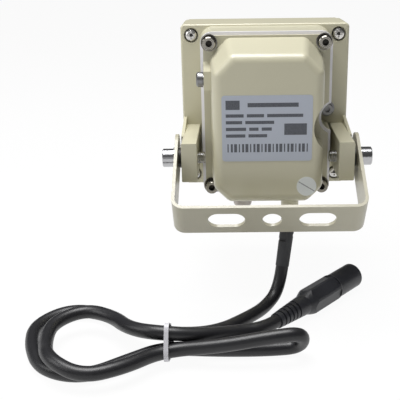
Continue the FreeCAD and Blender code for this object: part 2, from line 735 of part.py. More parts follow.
def build_cord():
    """The lead as straight runs joined by tangent arcs, and its printed radii and length."""
    points = [V(*p) for p in cord_route]
    edges = []
    start = points[0]
    radii = []
    for i in range(1, len(points) - 1):
        before = points[i] - points[i - 1]
        after = points[i + 1] - points[i]
        turn = before.getAngle(after)
        shorter = min(before.Length, after.Length)
        radius = 0.45 * shorter / math.tan(turn / 2)
        radii.append(round(radius, 1))
        first, middle, last = corner_points(points[i - 1], points[i], points[i + 1], radius)
        edges.append(Part.LineSegment(start, first).toShape())
        edges.append(Part.Arc(first, middle, last).toShape())
        start = last
    edges.append(Part.LineSegment(start, points[-1]).toShape())
    path = Part.Wire(edges)
    section = Part.Wire([Part.Circle(points[0], points[1] - points[0], cord_r).toShape()])
    tube = path.makePipeShell([section], True, True)
    ideal = math.pi * cord_r ** 2 * path.Length
    print("cord radii", radii)
    print("cord length %.1f  volume %.1f of %.1f" % (path.Length, tube.Volume, ideal))
    save("power_lead", tube)


def build_tie():
    """The cable tie round the four strands, with its small head."""
    middles = [V(tie_x, y, z) for y, z in tie_strands]
    across = Part.Face(Part.makePolygon(middles + [middles[0]]))
    width = V(tie_width, 0, 0)
    inner = across.makeOffset2D(cord_r + tie_play).extrude(width)
    outer = across.makeOffset2D(cord_r + tie_play + tie_thick).extrude(width)
    band = outer.cut(inner)
    side = (middles[1] - middles[0]).normalize()
    out = V(0, -side.z, side.y)
    seat = (middles[0] + middles[1]) * 0.5 + out * (cord_r + tie_play + 0.4)
    head = Part.makeBox(tie_width + 2.0, 4.6, 3.4, V(-1.0, -2.3, 0))
    head = head.makeFillet(0.5, [e for e in head.Edges if e.CenterOfMass.z > 0.1])
    head = place(head, V(0, 0, 0), out)
    turned = head.BoundBox
    head.translate(seat - V(turned.XMin + turned.XLength / 2 - tie_width / 2, 0, 0))
    band.translate(V(-tie_width / 2, 0, 0))
    head.translate(V(-tie_width / 2, 0, 0))
    save("cable_tie", band.fuse(head).cut(inner.translated(V(-tie_width / 2, 0, 0))))


def build_connector():
    """The in-line socket: ribbed relief, faceted grip, round barrel, shell, insert and contacts."""
    z = surface_z + barrel_r
    start = V(relief_start[0], relief_start[1], z)
    end = V(connector_end[0], connector_end[1], z)
    axis = (end - start).normalize()
    total = (end - start).Length
    profile = [(0, 0), (relief_end_r, 0)]
    rings = 5
    pitch = 3.0
    for i in range(rings):
        s = 2.6 + pitch * i
        r = relief_end_r + (relief_r - relief_end_r) * s / relief_length
        profile += [(r, s), (r - 0.8, s), (r - 0.8, s + 0.9), (r + 0.1, s + 0.9)]
    profile += [(relief_r, relief_length), (0, relief_length)]
    save("socket_relief", place(revolved(profile), start, axis))
    grip = revolved([(0, 0), (relief_r, 0), (barrel_r + 0.4, 5.0), (barrel_r + 0.4, grip_length - 1.0),
                     (barrel_r, grip_length), (0, grip_length)])
    flats = []
    for i in range(6):
        slab = Part.makeBox(20, 8, grip_length - 2, V(-10, grip_flat + 0.9, 1.0))
        slab.rotate(V(0, 0, 0), V(0, 0, 1), 60 * i)
        flats.append(slab)
    for slab in flats:
        grip = grip.cut(slab)
    for s in (5.0, 8.0):
        grip = grip.cut(Part.makeBox(20, 2.0, 0.9, V(-10, grip_flat + 0.1, s)))
    save("socket_grip", place(grip, start + axis * relief_length, axis))
    barrel_length = total - relief_length - grip_length
    bore_r = barrel_r - 1.5
    barrel = revolved([(0, 0), (barrel_r, 0), (barrel_r, barrel_length - 0.5),
                       (barrel_r - 0.5, barrel_length), (bore_r, barrel_length),
                       (bore_r, 6.0), (0, 6.0)])
    barrel_start = start + axis * (relief_length + grip_length)
    save("socket_barrel", place(barrel, barrel_start, axis))
    shell_r = bore_r - 0.05
    rim = barrel_length + shell_proud
    shell = revolved([(shell_r - 0.6, 6.0), (shell_r, 6.0), (shell_r, rim), (shell_r - 0.6, rim)])
    shell = shell.cut(Part.makeBox(3.0, 2 * barrel_r, 2.4, V(-1.5, -barrel_r, rim - 2.0)))
    save("socket_shell", place(shell, barrel_start, axis))
    insert_r = 3.6
    insert = Part.makeCylinder(insert_r, barrel_length - 9.0, V(0, 0, 6.0))
    for i in range(4):
        turn = math.radians(90 * i + 45)
        spot = V(2.0 * math.cos(turn), 2.0 * math.sin(turn), 8.0)
        insert = insert.cut(Part.makeCylinder(0.6, barrel_length, spot))
    save("socket_insert", place(insert, barrel_start, axis))


os.makedirs("parts", exist_ok=True)
save("housing", build_housing())
build_front()
build_engine()
build_rear_gasket()
build_cover()
build_fasteners()
build_driver()
build_plugs()
build_bracket()
build_boot()
build_cord()
build_tie()
build_connector()
print("origin in lamp axes", origin, "surface", surface_z - origin.z)
print("nodes", len(built))
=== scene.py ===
"""Looks of a small square floodlight on a U bracket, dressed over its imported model.

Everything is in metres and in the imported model's frame: +Y is the way the beam goes, +Z is up,
and the origin is the middle of the round hole in the bracket's base.
"""

import json
import logging
import math
from dataclasses import dataclass, field
from enum import Enum
from typing import Iterable, Sequence

import bpy
from mathutils import Matrix, Vector


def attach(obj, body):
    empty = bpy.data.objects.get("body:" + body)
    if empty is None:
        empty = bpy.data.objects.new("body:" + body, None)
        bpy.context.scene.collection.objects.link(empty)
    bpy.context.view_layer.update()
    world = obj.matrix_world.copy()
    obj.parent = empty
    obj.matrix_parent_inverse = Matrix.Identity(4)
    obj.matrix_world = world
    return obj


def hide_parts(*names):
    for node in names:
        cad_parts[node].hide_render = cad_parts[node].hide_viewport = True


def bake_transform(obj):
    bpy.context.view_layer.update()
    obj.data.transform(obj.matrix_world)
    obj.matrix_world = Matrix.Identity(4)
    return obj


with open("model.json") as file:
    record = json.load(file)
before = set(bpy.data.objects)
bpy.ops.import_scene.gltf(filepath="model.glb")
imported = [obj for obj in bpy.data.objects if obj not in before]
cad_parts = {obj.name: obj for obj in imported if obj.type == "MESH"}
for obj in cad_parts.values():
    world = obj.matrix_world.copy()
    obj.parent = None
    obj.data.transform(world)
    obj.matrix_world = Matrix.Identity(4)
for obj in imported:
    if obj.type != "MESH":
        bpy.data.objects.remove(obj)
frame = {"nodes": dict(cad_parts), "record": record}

log = logging.getLogger("illuminator")

Point = tuple[float, float, float]
Colour = tuple[float, float, float]

ORIGIN_IN_LAMP = Vector((0.0012, -0.0715162, -0.0443899))
SURFACE_Z = -0.1036 - ORIGIN_IN_LAMP.z


def lamp_point(x: float, y: float, z: float) -> Vector:
    """Turn a point given in millimetres from the middle of the body's back plane.

    Args:
        x: Across the lamp.
        y: Along the beam.
        z: Up.

    Returns:
        The same point in metres in the model's frame.
    """
    return Vector((x, y, z)) / 1000 - ORIGIN_IN_LAMP


def srgb(red: int, green: int, blue: int) -> Colour:
    """Turn an 8-bit display colour into the linear one that a shader takes."""
    def channel(value: int) -> float:
        """One channel of the display curve, undone."""
        share = value / 255
        return share / 12.92 if share <= 0.04045 else ((share + 0.055) / 1.055) ** 2.4
    return channel(red), channel(green), channel(blue)


def scaled(colour: Colour, factor: float) -> Colour:
    """A colour made darker or paler by a factor, held at full white."""
    return tuple(min(1.0, channel * factor) for channel in colour)


class Body(str, Enum):
    """The two rigid bodies of the model."""

    LAMP = "lamp"
    BRACKET = "bracket"


@dataclass(frozen=True)
class Signal:
    """A socket in a material's node tree that can be added, multiplied and compared."""

    tree: bpy.types.NodeTree
    socket: bpy.types.NodeSocket

    def _math(self, operation: str, *others: "Signal | float") -> "Signal":
        """Add one math node that takes this signal first."""
        node = self.tree.nodes.new("ShaderNodeMath")
        node.operation = operation
        for index, value in enumerate((self, *others)):
            if isinstance(value, Signal):
                self.tree.links.new(value.socket, node.inputs[index])
            else:
                node.inputs[index].default_value = value
        return Signal(self.tree, node.outputs[0])

    def __add__(self, other: "Signal | float") -> "Signal":
        return self._math("ADD", other)

    __radd__ = __add__

    def __sub__(self, other: "Signal | float") -> "Signal":
        return self._math("SUBTRACT", other)

    def __mul__(self, other: "Signal | float") -> "Signal":
        return self._math("MULTIPLY", other)

    __rmul__ = __mul__

    def __truediv__(self, other: "Signal | float") -> "Signal":
        return self._math("DIVIDE", other)

    def __abs__(self) -> "Signal":
        return self._math("ABSOLUTE")

    def below(self, other: "Signal | float") -> "Signal":
        """1 where this signal is less than other, and 0 elsewhere."""
        return self._math("LESS_THAN", other)

    def at_least(self, other: "Signal | float") -> "Signal":
        """The larger of the two signals."""
        return self._math("MAXIMUM", other)

    def fraction(self) -> "Signal":
        """The part after the decimal point."""
        return self._math("FRACT")

    def wave(self) -> "Signal":
        """The sine, with the signal in radians."""
        return self._math("SINE")

    def root(self) -> "Signal":
        """The square root."""
        return self._math("SQRT")


class Shader:
    """One material while its nodes are wired: coordinates, noise, colour mixes and bump."""

    def __init__(self, name: str) -> None:
        self.material = bpy.data.materials.new(name)
        self.material.use_nodes = True
        self.tree = self.material.node_tree
        self.surface = self.tree.nodes["Principled BSDF"]
        self.coordinates = self.tree.nodes.new("ShaderNodeTexCoord")
        self._axes: tuple[Signal, Signal, Signal] | None = None

    def link(self, source: bpy.types.NodeSocket, target: bpy.types.NodeSocket) -> None:
        """Join two sockets."""
        self.tree.links.new(source, target)

    def axes(self) -> tuple[Signal, Signal, Signal]:
        """The object's x, y and z in metres."""
        if self._axes is None:
            split = self.tree.nodes.new("ShaderNodeSeparateXYZ")
            self.link(self.coordinates.outputs["Object"], split.inputs[0])
            self._axes = tuple(Signal(self.tree, split.outputs[i]) for i in range(3))
        return self._axes

    def noise(self, scale: float, detail: float = 2.0, stretch: Point = (1.0, 1.0, 1.0),
              roughness: float = 0.5) -> Signal:
        """Smooth noise over the object, from 0 to 1.

        Args:
            scale: Cells in a metre.
            detail: Octaves.
            stretch: Extra scale along each axis, for brushed or drawn surfaces.
            roughness: Share of the finer octaves.
        """
        mapping = self.tree.nodes.new("ShaderNodeMapping")
        mapping.inputs["Scale"].default_value = stretch
        self.link(self.coordinates.outputs["Object"], mapping.inputs["Vector"])
        node = self.tree.nodes.new("ShaderNodeTexNoise")
        node.inputs["Scale"].default_value = scale
        node.inputs["Detail"].default_value = detail
        node.inputs["Roughness"].default_value = roughness
        self.link(mapping.outputs[0], node.inputs["Vector"])
        return Signal(self.tree, node.outputs["Fac"])

    def face(self, middle: Vector) -> tuple[Signal, Signal]:
        """Millimetres across and up from a point, for a piece that faces along Y."""
        x, _, z = self.axes()
        return (x - middle.x) * 1000, (z - middle.z) * 1000

    def remap(self, value: Signal, low: float, high: float) -> Signal:
        """Take a 0 to 1 signal to the range from low to high."""
        return value * (high - low) + low

    def paint(self, colour: bpy.types.NodeSocket) -> None:
        """Feed the surface's base colour."""
        self.link(colour, self.surface.inputs["Base Color"])

    def roughen(self, value: Signal, low: float, high: float) -> None:
        """Feed the surface's roughness with a 0 to 1 signal, taken to a range."""
        self.link(self.remap(value, low, high).socket, self.surface.inputs["Roughness"])

    def mix(self, share: Signal, first: Colour, second: Colour,
            base: bpy.types.NodeSocket | None = None) -> bpy.types.NodeSocket:
        """A colour between two, by a signal. A base socket takes the place of the first."""
        node = self.tree.nodes.new("ShaderNodeMix")
        node.data_type = "RGBA"
        node.clamp_factor = True
        self.link(share.socket, node.inputs["Factor"])
        node.inputs[6].default_value = (*first, 1.0)
        node.inputs[7].default_value = (*second, 1.0)
        if base is not None:
            self.link(base, node.inputs[6])
        return node.outputs[2]

    def bump(self, height: Signal, depth: float, strength: float = 1.0) -> None:
        """Raise the surface by a height signal.

        Args:
            height: From 0 to 1.
            depth: What 1 stands for, in metres.
            strength: Share of the effect.
        """
        node = self.tree.nodes.new("ShaderNodeBump")
        node.inputs["Strength"].default_value = strength
        node.inputs["Distance"].default_value = depth
        self.link(height.socket, node.inputs["Height"])
        self.link(node.outputs[0], self.surface.inputs["Normal"])

    def set(self, **values: float | Colour) -> None:
        """Write constants on the surface shader, by socket name with underscores for spaces."""
        for key, value in values.items():
            socket = self.surface.inputs[key.replace("_", " ")]
            is_colour = isinstance(value, tuple)
            socket.default_value = (*value, 1.0) if is_colour else value


@dataclass(frozen=True)
class Finish:
    """A surface that builds its own material."""

    name: str
    colour: Colour

    def build(self) -> bpy.types.Material:
        """Wire the finish's nodes and return the material."""
        shader = Shader(self.name)
        self.wire(shader)
        return shader.material

    def wire(self, shader: Shader) -> None:
        """Fill the shader in. Each kind of finish has its own."""
        raise NotImplementedError


@dataclass(frozen=True)
class PowderCoat(Finish):
    """Sprayed and baked paint: orange peel, fine grit and a faint drift in tone."""

    roughness: float = 0.34
    peel: float = 0.00006

    def wire(self, shader: Shader) -> None:
        broad = shader.noise(35, 3)
        peel = shader.noise(780, 2, roughness=0.6)
        grit = shader.noise(3200, 1)
        darker = scaled(self.colour, 0.90)
        paler = scaled(self.colour, 1.04)
        tone = shader.mix(broad * 0.6 + grit * 0.4, darker, paler)
        shader.paint(tone)
        shader.roughen(peel, self.roughness - 0.06, self.roughness + 0.10)
        shader.set(Specular_IOR_Level=0.5, Coat_Weight=0.25, Coat_Roughness=0.18)
        shader.bump(peel * 0.75 + grit * 0.25, self.peel, 0.8)


@dataclass(frozen=True)
class Rubber(Finish):
    """Soft moulded rubber or silicone with a dusty bloom."""

    roughness: float = 0.55
    grain: float = 1600.0
    depth: float = 0.00003
    bloom: float = 0.12

    def wire(self, shader: Shader) -> None:
        cloud = shader.noise(90, 3)
        fine = shader.noise(self.grain, 2)
        paler = tuple(min(1.0, c + self.bloom * (0.25 + c)) for c in self.colour)
        tone = shader.mix(cloud * 0.5 + fine * 0.2, self.colour, paler)
        shader.paint(tone)
        shader.roughen(cloud * 0.5 + fine * 0.5, self.roughness - 0.10, self.roughness + 0.12)
        shader.set(Specular_IOR_Level=0.5)
        shader.bump(fine, self.depth, 0.7)


@dataclass(frozen=True)
class Moulded(Finish):
    """Injection-moulded plastic with a light spark-eroded texture and, where asked, small teeth."""

    roughness: float = 0.42
    texture: float = 2200.0
    depth: float = 0.00002
    teeth: float = 0.0

    def wire(self, shader: Shader) -> None:
        grain = shader.noise(self.texture, 1)
        flow = shader.noise(60, 2, (1.0, 3.0, 1.0))
        darker = scaled(self.colour, 0.88)
        shader.paint(shader.mix(flow, darker, self.colour))
        shader.roughen(flow * 0.5 + grain * 0.5, self.roughness - 0.07, self.roughness + 0.09)
        if self.teeth:
            _, y, z = shader.axes()
            tooth = ((y + z) * self.teeth).fraction()
            shader.bump(tooth * 0.85 + grain * 0.15, 0.00025)
        else:
            shader.bump(grain, self.depth, 0.6)


@dataclass(frozen=True)
class Steel(Finish):
    """Turned or stamped steel: fine marks, small tarnish and, where asked, a thread."""

    roughness: float = 0.22
    marks: float = 2600.0
    thread_pitch: float = 0.0
    thread_reach: float = 0.0

    def wire(self, shader: Shader) -> None:
        fine = shader.noise(self.marks, 2, (1.0, 0.25, 1.0))
        stain = shader.noise(160, 3)
        darker = scaled(self.colour, 0.72)
        shader.paint(shader.mix(stain * 0.7 + fine * 0.3, darker, self.colour))
        shader.set(Metallic=1.0)
        shader.roughen(fine * 0.6 + stain * 0.4, self.roughness - 0.08, self.roughness + 0.12)
        if self.thread_pitch:
            x, _, _ = shader.axes()
            turns = (x * (2 * math.pi / self.thread_pitch)).wave() * 0.5 + 0.5
            shaft = abs(x + ORIGIN_IN_LAMP.x).below(self.thread_reach)
            shader.bump(turns * shaft + fine * 0.03, 0.0003)
        else:
            shader.bump(fine, 0.000012, 0.6)


@dataclass(frozen=True)
class SocketHead(Finish):
    """Four screws and their washers: bright rims, with painted shade in the seam round each head
    and in the recess.

    The screws stand at plus and minus across and up, in millimetres from the body's axis. The
    reaches are millimetres from a screw's own axis.
    """

    across: float = 30.5
    up: float = 39.4
    seam_reach: float = 3.75
    recess_reach: float = 1.75
    dark: float = 0.45
    seam_half_width: float = 0.28
    turning: float = 9.0
    # Colour of the painted shade put in each seam and recess.
    grime: Colour = (0.012, 0.011, 0.010)

    def wire(self, shader: Shader) -> None:
        across, up = shader.face(lamp_point(0, 0, 0))
        dx = abs(across) - self.across
        dz = abs(up) - self.up
        reach = (dx * dx + dz * dz).root()
        turned = (reach * self.turning).wave() * 0.5 + 0.5
        fine = shader.noise(2400, 2)
        darker = scaled(self.colour, self.dark)
        rim = shader.mix(turned * 0.55 + fine * 0.35, self.colour, darker)
        # Painted shade: the seam between head and washer, and the recess in each head, take the
        # shade colour in place of the shade that falls there.
        seam = abs(reach - self.seam_reach).below(self.seam_half_width) * 0.8
        recess = reach.below(self.recess_reach) * 0.94
        tone = shader.mix(seam.at_least(recess), self.colour, self.grime, rim)
        shader.paint(tone)
        shader.set(Metallic=1.0)
        shader.roughen(fine, 0.16, 0.34)
        shader.bump(turned * 0.6 + fine * 0.2, 0.00006, 0.6)


@dataclass(frozen=True)
class Plated(Finish):
    """Bright plating over a machined base."""

    roughness: float = 0.12

    def wire(self, shader: Shader) -> None:
        ripple = shader.noise(500, 2)
        speck = shader.noise(2400, 1)
        darker = scaled(self.colour, 0.85)
        shader.paint(shader.mix(speck, darker, self.colour))
        shader.set(Metallic=1.0)
        shader.roughen(ripple, self.roughness - 0.04, self.roughness + 0.10)
        shader.bump(ripple, 0.00001, 0.4)


@dataclass(frozen=True)
class ClearPane(Finish):
    """Clear glass or clear moulding, with faint dust in its roughness."""

    roughness: float = 0.02
    index: float = 1.5

    def wire(self, shader: Shader) -> None:
        dust = shader.noise(260, 3)
        tint = scaled(self.colour, 0.97)
        shader.paint(shader.mix(dust, tint, self.colour))
        shader.roughen(dust, self.roughness * 0.5, self.roughness * 2.5)
        shader.set(Transmission_Weight=1.0, IOR=self.index)


@dataclass(frozen=True)
class BoardMask(Finish):
    """A circuit board's solder mask with copper tracks showing through."""

    tracks: float = 260.0

    def wire(self, shader: Shader) -> None:
        x, _, z = shader.axes()
        lanes = abs((x * self.tracks).fraction() - 0.5).below(0.12)
        rows = abs((z * self.tracks * 0.5).fraction() - 0.5).below(0.05)
        speck = shader.noise(700, 2)
        track = tuple(min(1.0, c * 1.18 + 0.02) for c in self.colour)
        share = lanes.at_least(rows) * 0.7 + speck * 0.2
        shader.paint(shader.mix(share, self.colour, track))
        shader.roughen(speck, 0.24, 0.40)
        shader.bump(lanes.at_least(rows) * 0.8 + speck * 0.2, 0.00003, 0.5)


@dataclass(frozen=True)
class WoundTape(Finish):
    """Overlapping turns of tape round a transformer."""

    turn: float = 0.0035

    def wire(self, shader: Shader) -> None:
        _, _, z = shader.axes()
        lap = (z / self.turn).fraction()
        edge = lap.below(0.08)
        haze = shader.noise(400, 2)
        darker = scaled(self.colour, 0.62)
        shader.paint(shader.mix(edge * 0.8 + haze * 0.3, self.colour, darker))
        shader.roughen(haze, 0.22, 0.38)
        shader.bump(lap, 0.00008, 0.7)


@dataclass(frozen=True)
class PrintedFilm(Finish):
    """A thin film with plain printed fields and bars, and nothing that can be read.

    Each bar is (middle x, middle z, half width, half height) in millimetres from the film's middle.
    """

    middle: Vector = field(default_factory=Vector)
    ink: Colour = (0.02, 0.02, 0.025)
    bars: tuple[tuple[float, float, float, float], ...] = ()
    roughness: float = 0.36

    def wire(self, shader: Shader) -> None:
        across, up = shader.face(self.middle)
        print_share: Signal | None = None
        for bar_x, bar_z, half_x, half_z in self.bars:
            bar = abs(across - bar_x).below(half_x) * abs(up - bar_z).below(half_z)
            print_share = bar if print_share is None else print_share.at_least(bar)
        haze = shader.noise(120, 3)
        fibre = shader.noise(2600, 1)
        darker = scaled(self.colour, 0.93)
        paper = shader.mix(haze * 0.6 + fibre * 0.4, self.colour, darker)
        tone = paper
        if print_share is not None:
            worn = print_share * shader.remap(fibre, 0.72, 1.0)
            tone = shader.mix(worn, self.colour, self.ink, paper)
        shader.paint(tone)
        shader.roughen(haze, self.roughness - 0.06, self.roughness + 0.08)
        shader.bump(fibre, 0.00001, 0.4)


@dataclass(frozen=True)
class InspectionMark(Finish):
    """A pale round paper dot with one slanted pen stroke. Lengths are in millimetres."""

    middle: Vector = field(default_factory=Vector)
    stroke: Colour = (0.10, 0.10, 0.12)
    stroke_half_width: float = 0.24
    stroke_reach: float = 5.0

    def wire(self, shader: Shader) -> None:
        across, up = shader.face(self.middle)
        slant = abs(across * 0.53 + up * 0.85).below(self.stroke_half_width)
        reach = (across * across + up * up).root().below(self.stroke_reach)
        fibre = shader.noise(2000, 2)
        paper = shader.mix(fibre, self.colour, scaled(self.colour, 0.9))
        drawn = slant * reach * shader.remap(fibre, 0.5, 1.0)
        tone = shader.mix(drawn, self.colour, self.stroke, paper)
        shader.paint(tone)
        shader.roughen(fibre, 0.5, 0.7)
        shader.bump(fibre, 0.00001, 0.5)


CREAM = srgb(196, 192, 168)
LABEL_MIDDLE = lamp_point(-0.7, -52.1, -1.5)
DOT_MIDDLE = lamp_point(20.1, -52.1, -32.8)


class Finishes(Enum):
    """The record's material slots and the finish that each one wears."""

    cream_paint = PowderCoat("cream powder coat", CREAM)
    bracket_paint = PowderCoat("bracket powder coat", srgb(172, 168, 149), 0.36)
    pale_silicone = Rubber("pale silicone", srgb(234, 233, 240), 0.50, 900.0, 0.00002, 0.05)
    dark_rubber = Rubber("dark rubber", srgb(44, 45, 48), 0.58)
    cord_jacket = Rubber("cord jacket", srgb(27, 27, 30), 0.38, 1500.0, 0.000005, 0.02)
    window_glass = ClearPane("window glass", srgb(244, 248, 248))
    lens_clear = ClearPane("clear lens", srgb(246, 248, 250), 0.04, 1.49)
    lens_holder_white = Moulded("white holder", srgb(224, 224, 220))
    board_white = BoardMask("white board", srgb(226, 226, 220), 180.0)
    phosphor = Rubber("phosphor", srgb(236, 206, 70), 0.5, 2600.0, 0.00001, 0.05)
    thermal_pad = Rubber("thermal pad", srgb(140, 156, 170))
    board_green = BoardMask("green board", srgb(34, 98, 58))
    transformer_tape = WoundTape("wound tape", srgb(206, 180, 92))
    capacitor_sleeve = Moulded("shrink sleeve", srgb(34, 42, 78), 0.28)
    terminal_green = Moulded("terminal plastic", srgb(66, 138, 82))
    plug_chrome = Plated("bright plating", srgb(222, 222, 226))
    plug_grey = Steel("dull plug", srgb(206, 200, 194), 0.50)
    tie_nylon = Moulded("natural nylon", srgb(208, 207, 212), 0.34, teeth=900.0)
    socket_plastic = Moulded("socket plastic", srgb(44, 45, 50), 0.40)
    socket_metal = Plated("socket shell plating", srgb(214, 214, 216), 0.16)
    steel = Steel("stainless steel", srgb(196, 196, 198))
    # Painted shade: the pivot washers' dark colour stands in for the shade in the gap between
    # bracket arm and lamp lug.
    dark_washer = Moulded("washer with painted shade", srgb(52, 50, 46), 0.5)


# Small metal pieces that differ from their slot's finish, by the start of their node's name.
NODE_FINISHES: tuple[tuple[tuple[str, ...], Finish], ...] = (
    (("pivot_bolt",),
     Steel("threaded steel", srgb(196, 196, 198), 0.2, thread_pitch=0.001, thread_reach=0.0458)),
    (("cover_screw", "cover_washer", "cover_spring"),
     SocketHead("cover screws", srgb(172, 168, 160))),
    (("bezel_screw",),
     SocketHead("bright pan screws", srgb(232, 230, 226), across=41.5, up=40.5, seam_reach=3.3,
                recess_reach=1.0, dark=0.6)),
    (("side_plug", "side_screw", "side_washer"),
     Steel("side fittings", srgb(150, 150, 152), 0.36)),
)


@dataclass
class Dresser:
    """Gives each node and piece its finish, and builds each material once."""

    built: dict[str, bpy.types.Material] = field(default_factory=dict)

    def material(self, finish: Finish) -> bpy.types.Material:
        """The material of a finish."""
        if finish.name not in self.built:
            self.built[finish.name] = finish.build()
        return self.built[finish.name]

    def dress(self, thing: bpy.types.Object, finish: Finish) -> None:
        """Put a finish on every slot of an object."""
        material = self.material(finish)
        if not thing.material_slots:
            thing.data.materials.append(material)
        for slot in thing.material_slots:
            slot.material = material

    @staticmethod
    def finish_of(node_name: str, slot: str) -> Finish:
        """The finish of a node.

        Args:
            node_name: The node's name in the record.
            slot: Its material slot in the record.

        Returns:
            The node's own finish where it has one, and otherwise the slot's.
        """
        for prefixes, finish in NODE_FINISHES:
            if node_name.startswith(prefixes):
                return finish
        return Finishes[slot].value

    def dress_nodes(self) -> None:
        """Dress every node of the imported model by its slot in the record."""
        for entry in frame["record"]["subparts"]:
            node = bpy.data.objects[frame["nodes"][entry["node"]].name]
            self.dress(node, self.finish_of(entry["node"], entry["material_slot"]))
            self.smooth(node)

    @staticmethod
    def smooth(thing: bpy.types.Object, degrees: float = 32.0) -> None:
        """Shade an object's round faces smooth and keep its corners.

        Args:
            thing: The object.
            degrees: Edges that turn by more than this stay sharp.
        """
        mesh = thing.data
        mesh.polygons.foreach_set("use_smooth", [True] * len(mesh.polygons))
        mesh.update()
        select_only(thing)
        bpy.ops.object.shade_smooth_by_angle(angle=math.radians(degrees))


def select_only(thing: bpy.types.Object) -> None:
    """Make one object the only selected and active one."""
    bpy.ops.object.select_all(action="DESELECT")
    thing.select_set(True)
    bpy.context.view_layer.objects.active = thing


def settle(thing: bpy.types.Object, name: str) -> bpy.types.Object:
    """Apply an object's modifiers and transform, so that its mesh alone says where it is.

    Args:
        thing: The object.
        name: The name that it and its mesh get.

    Returns:
        The same object.
    """
    select_only(thing)
    for modifier in list(thing.modifiers):
        bpy.ops.object.modifier_apply(modifier=modifier.name)
    bpy.ops.object.transform_apply(location=True, rotation=True, scale=True)
    thing.name = name
    thing.data.name = name
    return thing


def rounded_plate(name: str, middle: Vector, width: float, height: float, thickness: float,
                  corner: float) -> bpy.types.Object:
    """A thin upright plate with round corners that faces -Y.

    Args:
        name: The piece's name.
        middle: The plate's middle.
        width: Along X.
        height: Along Z.
        thickness: Along Y.
        corner: Corner radius.

    Returns:
        The plate, with its corners rounded.
    """
    bpy.ops.mesh.primitive_cube_add(size=1, location=middle)
    plate = bpy.context.object
    plate.scale = (width, thickness, height)
    bpy.ops.object.transform_apply(location=False, rotation=False, scale=True)
    weights = plate.data.attributes.new("bevel_weight_edge", "FLOAT", "EDGE")
    for edge in plate.data.edges:
        first, second = (plate.data.vertices[i].co for i in edge.vertices)
        weights.data[edge.index].value = 1.0 if abs(first.y - second.y) > thickness / 2 else 0.0
    bevel = plate.modifiers.new("corners", "BEVEL")
    bevel.limit_method = "WEIGHT"
    bevel.width = corner
    bevel.segments = 8
    return settle(plate, name)


def disc(name: str, middle: Vector, radius: float, thickness: float) -> bpy.types.Object:
    """A thin round plate that faces -Y.

    Args:
        name: The piece's name.
        middle: The plate's middle.
        radius: Its radius.
        thickness: Along Y.

    Returns:
        The plate.
    """
    bpy.ops.mesh.primitive_cylinder_add(vertices=64, radius=radius, depth=thickness,
                                        location=middle, rotation=(math.pi / 2, 0, 0))
    return settle(bpy.context.object, name)


@dataclass
class Lead:
    """The power lead: one smooth line, cut in two stretches where it first enters the tie.

    Attributes:
        dresser: Gives the stretches their finish.
        route: Control points of the line, in lamp millimetres.
        leaving: Where the lead stops following the lamp, in lamp millimetres. Not used.
        landing: Where it has come to rest on the bracket's body, in lamp millimetres. Not used.
        tie_entry: Lamp x where the first stretch ends, in millimetres.
        diameter: The lead's thickness.
        shortest_step: Points of the line closer than this are left out.
        steps: Points of the line for each control point.
        roundness: Extra points in a quarter of the tube's rim.
    """

    dresser: Dresser
    route: Sequence[Point]
    leaving: Point
    landing: Point
    tie_entry: float = -50.8
    diameter: float = 0.007
    shortest_step: float = 0.0003
    steps: int = 14
    roundness: int = 7

    def line(self, name: str, points: Iterable[Vector]) -> bpy.types.Object:
        """A smooth open line through the route's control points."""
        points = list(points)
        curve = bpy.data.curves.new(name, "CURVE")
        curve.dimensions = "3D"
        curve.resolution_u = self.steps
        spline = curve.splines.new("NURBS")
        spline.points.add(len(points) - 1)
        for target, source in zip(spline.points, points):
            target.co = (*source, 1.0)
        spline.order_u = 3
        spline.use_endpoint_u = True
        thing = bpy.data.objects.new(name, curve)
        bpy.context.collection.objects.link(thing)
        return thing

    def path(self, thing: bpy.types.Object) -> list[Vector]:
        """Points along a line, read from the spline itself."""
        bpy.context.view_layer.update()
        mesh = bpy.data.meshes.new_from_object(thing)
        points = [mesh.vertices[0].co.copy()]
        for vertex in mesh.vertices:
            if (vertex.co - points[-1]).length > self.shortest_step:
                points.append(vertex.co.copy())
        bpy.data.meshes.remove(mesh)
        return points

    def tube(self, thing: bpy.types.Object) -> bpy.types.Object:
        """Give the line its thickness and turn it into a mesh."""
        thing.data.bevel_depth = self.diameter / 2
        thing.data.bevel_resolution = self.roundness
        thing.data.use_fill_caps = True
        select_only(thing)
        bpy.ops.object.convert(target="MESH")
        made = bpy.context.object
        bpy.ops.object.shade_smooth()
        return made

    @staticmethod
    def length(points: Sequence[Vector]) -> float:
        """Length of a chain of points."""
        return sum((b - a).length for a, b in zip(points, points[1:]))

    def build(self) -> None:
        """Build both stretches, say what they are, and hide the plain solid."""
        control = [lamp_point(*point) for point in self.route]
        whole = self.line("whole_line", control)
        points = self.path(whole)
        bpy.data.objects.remove(whole)
        log.info("lead %.1f mm", 1000 * self.length(points))
        tie_x = lamp_point(self.tie_entry, 0, 0).x
        cut = next(i for i, point in enumerate(points) if point.x < tie_x)
        for name, stretch in (("lead_to_lamp", points[:cut + 1]), ("lead_bundle", points[cut:])):
            thing = self.swept(name, stretch)
            self.dresser.dress(thing, Finishes.cord_jacket.value)
            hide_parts("power_lead")
            first = name == "lead_to_lamp"
            if first:
                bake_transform(thing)
            else:
                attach(thing, Body.BRACKET.value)

    def swept(self, name: str, stretch: Sequence[Vector]) -> bpy.types.Object:
        """A round tube along a stretch of points."""
        curve = bpy.data.curves.new(name, "CURVE")
        curve.dimensions = "3D"
        spline = curve.splines.new("POLY")
        spline.points.add(len(stretch) - 1)
        for target, source in zip(spline.points, stretch):
            target.co = (*source, 1.0)
        thing = bpy.data.objects.new(name, curve)
        bpy.context.collection.objects.link(thing)
        return self.tube(thing)


